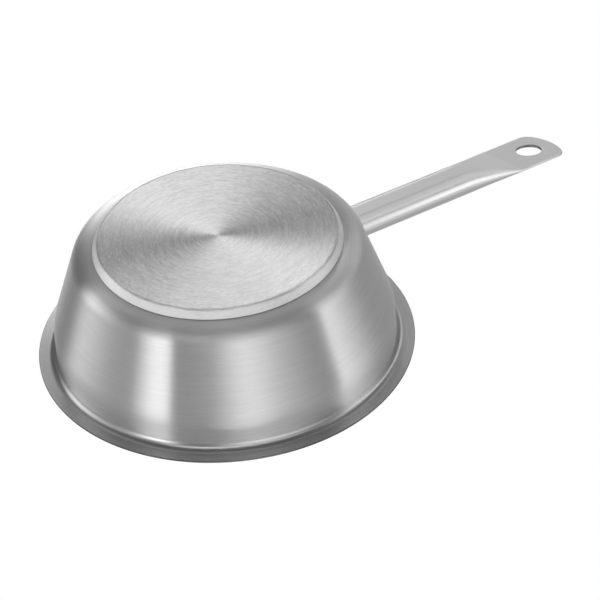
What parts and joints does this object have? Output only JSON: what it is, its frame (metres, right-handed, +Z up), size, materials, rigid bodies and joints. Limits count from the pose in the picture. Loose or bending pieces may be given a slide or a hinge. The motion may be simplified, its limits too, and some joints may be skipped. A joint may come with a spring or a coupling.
{
  "type": "stainless steel stove pan",
  "caption": "Conical stainless steel pan with a flat flanged rim, a layered flat base and a long tube handle pressed to a flat tab with a hanging eyelet.",
  "frame": {"origin": "middle of the base's underside, on the surface the pan stands on", "axes": "+Z up out of the mouth, +X along the handle seen from above, +Y to the left of the handle's direction"},
  "size_m": [0.4075, 0.212, 0.1153],
  "materials": {
    "bowl_steel": "satin, brushed round the wall",
    "base_steel": "fine turned rings",
    "core_aluminium": "rolled",
    "handle_steel": "satin, ground across its length",
    "plate_steel": "satin",
    "weld_steel": "dull weld bead"
  },
  "bodies": {
    "root": {"body_shell": "bowl_steel", "base_cap": "base_steel", "heat_core": "core_aluminium", "handle_tube": "handle_steel", "mounting_plate": "plate_steel", "root_weld": "weld_steel"}
  },
  "joints": []
}
